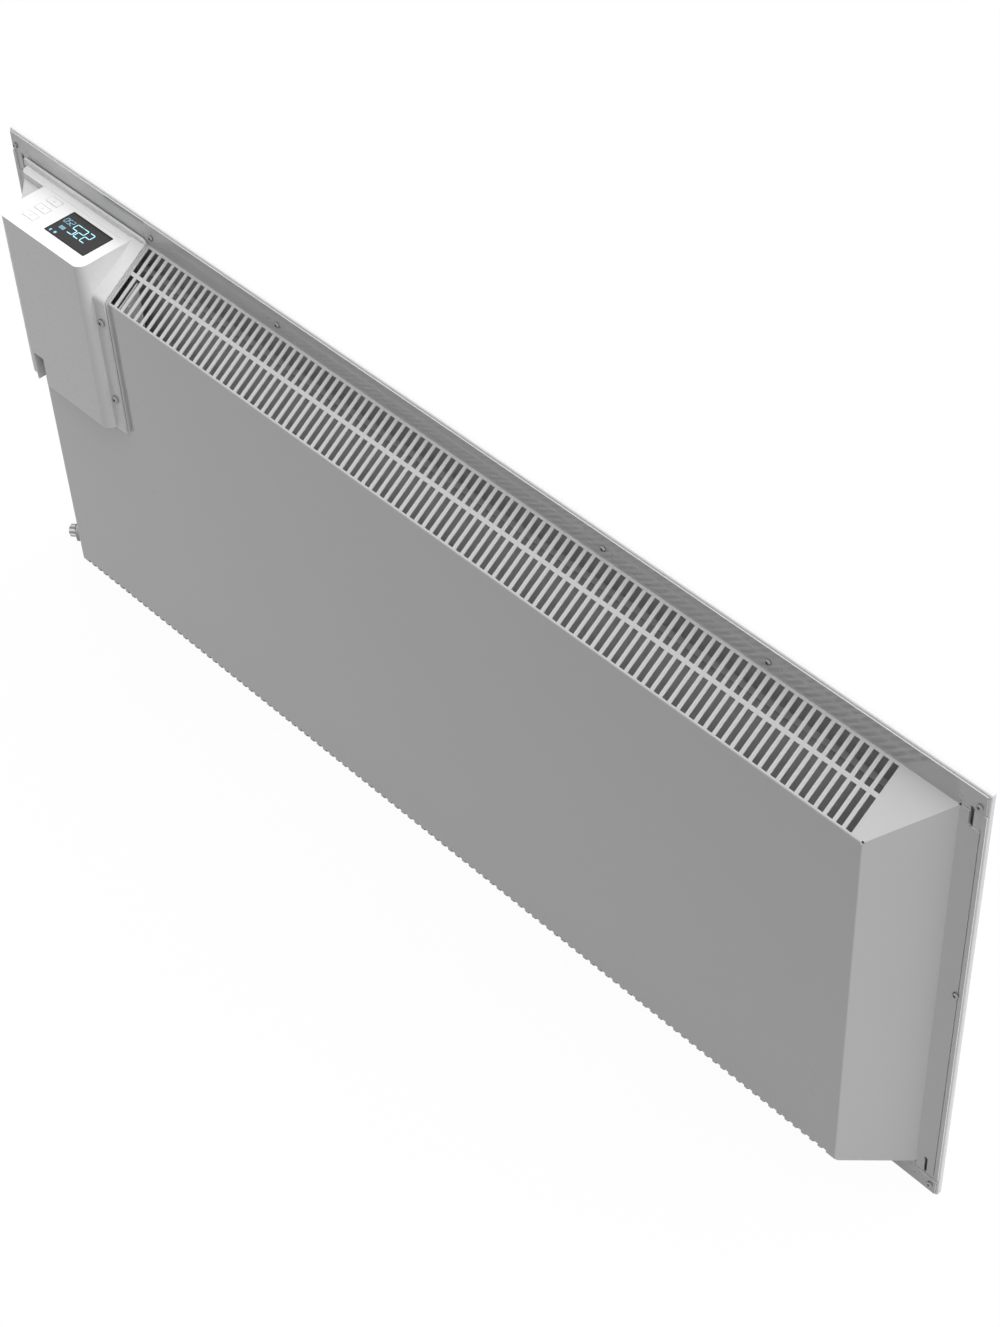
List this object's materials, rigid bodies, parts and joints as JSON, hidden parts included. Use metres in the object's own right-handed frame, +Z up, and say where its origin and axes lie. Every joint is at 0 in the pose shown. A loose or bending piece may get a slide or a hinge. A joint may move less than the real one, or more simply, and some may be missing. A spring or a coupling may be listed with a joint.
{
  "type": "wall panel convector heater",
  "caption": "Slim wall-hung convector heater with a flat front panel, folded slanted rear casing, slotted outlet grille and a boxed thermostat with display and keys.",
  "frame": {"origin": "centre of the panel's width and height, on the rear casing's flat back face", "axes": "+Z up as the heater hangs, +Y out of the rear face towards the wall, +X towards the end with the thermostat"},
  "size_m": [0.848, 0.0536, 0.37],
  "materials": {
    "painted_sheet": "white powder coat, semi-gloss",
    "galvanised_sheet": "galvanised sheet, satin",
    "screw_steel": "plated steel",
    "element_aluminium": "extruded, matt",
    "sheath_steel": "drawn tube",
    "ceramic": "glazed ceramic",
    "black_rubber": "matt",
    "lead_insulation": "woven sleeve",
    "white_plastic": "fine satin moulding",
    "grey_plastic": "satin moulding",
    "window_plastic": "smoked, polished",
    "display_body": "satin",
    "board_green": "solder mask",
    "black_plastic": "satin",
    "chrome_knob": "polished"
  },
  "bodies": {
    "heater": {"front_panel": "painted_sheet", "rear_casing": "painted_sheet", "perimeter_screws": "screw_steel", "front_heat_shield": "galvanised_sheet", "shield_standoffs": "screw_steel", "heating_element": "element_aluminium", "element_sheath": "sheath_steel", "element_insulators": "ceramic", "element_terminals": "sheath_steel", "element_brackets": "galvanised_sheet", "rivets": "screw_steel", "cutout_clip": "galvanised_sheet", "thermal_cutout": "sheath_steel", "terminal_partition": "galvanised_sheet", "lead_grommet": "black_rubber", "element_leads": "lead_insulation", "earth_screw": "screw_steel", "thermostat_base": "white_plastic", "thermostat_housing": "white_plastic", "thermostat_screws": "screw_steel", "cable_inlet_bush": "black_rubber", "cable_clamp": "grey_plastic", "display_window": "window_plastic", "display_module": "display_body", "control_board": "board_green", "key_switches": "black_plastic", "power_board": "board_green", "relay": "black_plastic", "transformer": "black_plastic", "terminal_block": "grey_plastic", "temperature_sensor": "grey_plastic", "lock_bush": "grey_plastic", "lock_nut": "screw_steel"},
    "key_1": {"key_1": "white_plastic"},
    "key_2": {"key_2": "white_plastic"},
    "key_3": {"key_3": "white_plastic"},
    "lock": {"lock_spindle": "screw_steel", "lock_clip": "screw_steel", "lock_cam": "grey_plastic", "lock_knob": "chrome_knob"}
  },
  "joints": [
    {"name": "key_1_press", "type": "slide", "parent": "heater", "child": "key_1", "axis": [0, 0, -1], "range_m": [0, 0.0008], "stiffness_N_per_m": 1500, "springref_m": -0.0005},
    {"name": "key_2_press", "type": "slide", "parent": "heater", "child": "key_2", "axis": [0, 0, -1], "range_m": [0, 0.0008], "stiffness_N_per_m": 1500, "springref_m": -0.0005},
    {"name": "key_3_press", "type": "slide", "parent": "heater", "child": "key_3", "axis": [0, 0, -1], "range_m": [0, 0.0008], "stiffness_N_per_m": 1500, "springref_m": -0.0005},
    {"name": "lock_turn", "type": "hinge", "parent": "heater", "child": "lock", "pos_m": [0.38585, -0.0143, -0.147], "axis": [0.7674, 0.6412, 0], "range_deg": [0, 90]}
  ]
}
